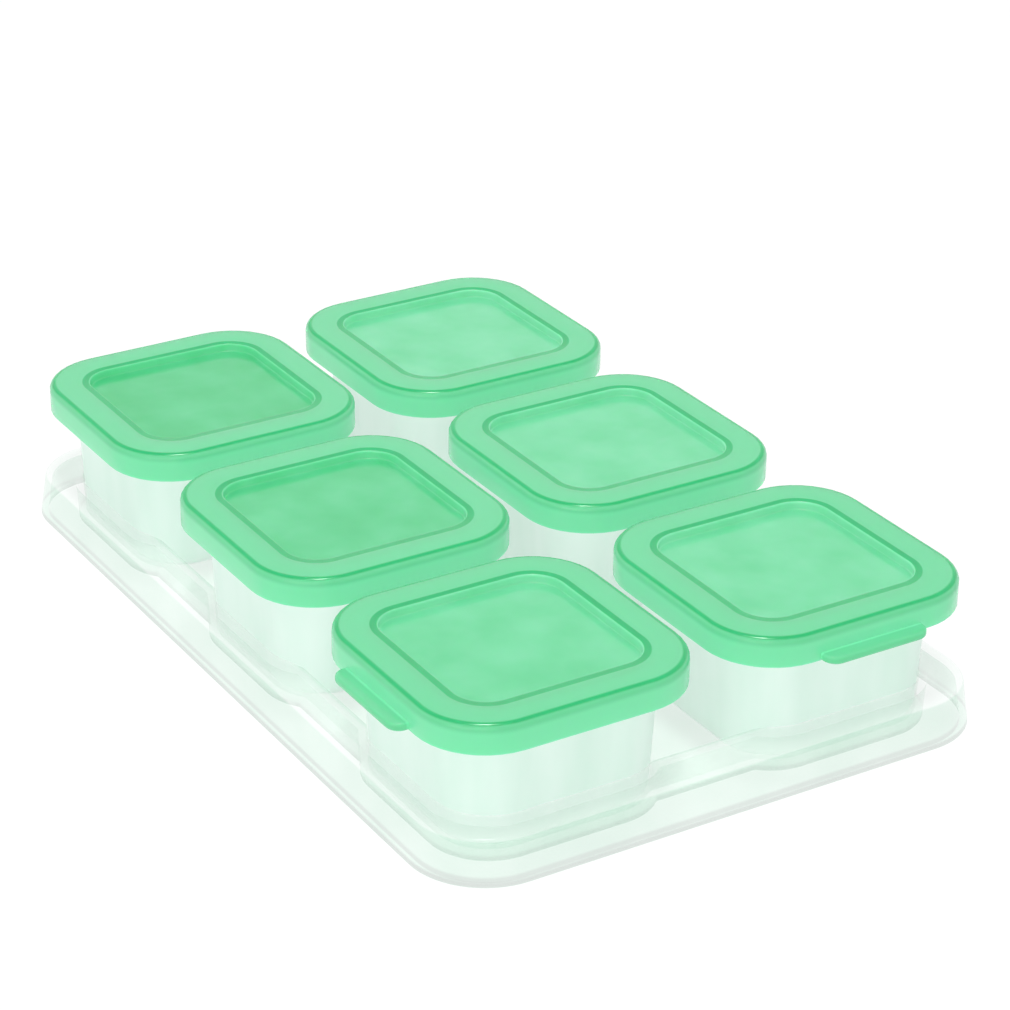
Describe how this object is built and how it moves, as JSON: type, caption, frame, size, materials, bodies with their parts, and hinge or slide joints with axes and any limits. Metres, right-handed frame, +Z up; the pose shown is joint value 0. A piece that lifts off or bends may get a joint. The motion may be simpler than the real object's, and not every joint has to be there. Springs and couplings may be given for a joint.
{
  "type": "breast milk storage freezer box set",
  "caption": "Clear tray with a scalloped well, holding a grid of square milky freezer cups with translucent green snap lids, each with a sunken panel and a pull tab.",
  "frame": {"origin": "centre of the tray's footprint, at the level it stands on", "axes": "+X along the tray's long side, through the columns; +Y across the rows, from front to back; +Z up, the way the cups and lids lift"},
  "size_m": [0.2212, 0.1454, 0.0361],
  "materials": {
    "clear_tray": "polished clear moulding",
    "milky_cup": "satin translucent natural polypropylene",
    "green_lid": "semi-gloss translucent green polyethylene"
  },
  "bodies": {
    "tray": {"tray": "clear_tray"},
    "cup_front_left": {"cup_front_left": "milky_cup"},
    "lid_front_left": {"lid_front_left": "green_lid"},
    "cup_front_middle": {"cup_front_middle": "milky_cup"},
    "lid_front_middle": {"lid_front_middle": "green_lid"},
    "cup_front_right": {"cup_front_right": "milky_cup"},
    "lid_front_right": {"lid_front_right": "green_lid"},
    "cup_back_left": {"cup_back_left": "milky_cup"},
    "lid_back_left": {"lid_back_left": "green_lid"},
    "cup_back_middle": {"cup_back_middle": "milky_cup"},
    "lid_back_middle": {"lid_back_middle": "green_lid"},
    "cup_back_right": {"cup_back_right": "milky_cup"},
    "lid_back_right": {"lid_back_right": "green_lid"}
  },
  "joints": [
    {"name": "cup_front_left_lift", "type": "slide", "parent": "tray", "child": "cup_front_left", "axis": [0, 0, 1], "range_m": [0, 0.045]},
    {"name": "lid_front_left_lift", "type": "slide", "parent": "cup_front_left", "child": "lid_front_left", "axis": [0, 0, 1], "range_m": [0, 0.02]},
    {"name": "cup_front_middle_lift", "type": "slide", "parent": "tray", "child": "cup_front_middle", "axis": [0, 0, 1], "range_m": [0, 0.045]},
    {"name": "lid_front_middle_lift", "type": "slide", "parent": "cup_front_middle", "child": "lid_front_middle", "axis": [0, 0, 1], "range_m": [0, 0.02]},
    {"name": "cup_front_right_lift", "type": "slide", "parent": "tray", "child": "cup_front_right", "axis": [0, 0, 1], "range_m": [0, 0.045]},
    {"name": "lid_front_right_lift", "type": "slide", "parent": "cup_front_right", "child": "lid_front_right", "axis": [0, 0, 1], "range_m": [0, 0.02]},
    {"name": "cup_back_left_lift", "type": "slide", "parent": "tray", "child": "cup_back_left", "axis": [0, 0, 1], "range_m": [0, 0.045]},
    {"name": "lid_back_left_lift", "type": "slide", "parent": "cup_back_left", "child": "lid_back_left", "axis": [0, 0, 1], "range_m": [0, 0.02]},
    {"name": "cup_back_middle_lift", "type": "slide", "parent": "tray", "child": "cup_back_middle", "axis": [0, 0, 1], "range_m": [0, 0.045]},
    {"name": "lid_back_middle_lift", "type": "slide", "parent": "cup_back_middle", "child": "lid_back_middle", "axis": [0, 0, 1], "range_m": [0, 0.02]},
    {"name": "cup_back_right_lift", "type": "slide", "parent": "tray", "child": "cup_back_right", "axis": [0, 0, 1], "range_m": [0, 0.045]},
    {"name": "lid_back_right_lift", "type": "slide", "parent": "cup_back_right", "child": "lid_back_right", "axis": [0, 0, 1], "range_m": [0, 0.02]}
  ]
}
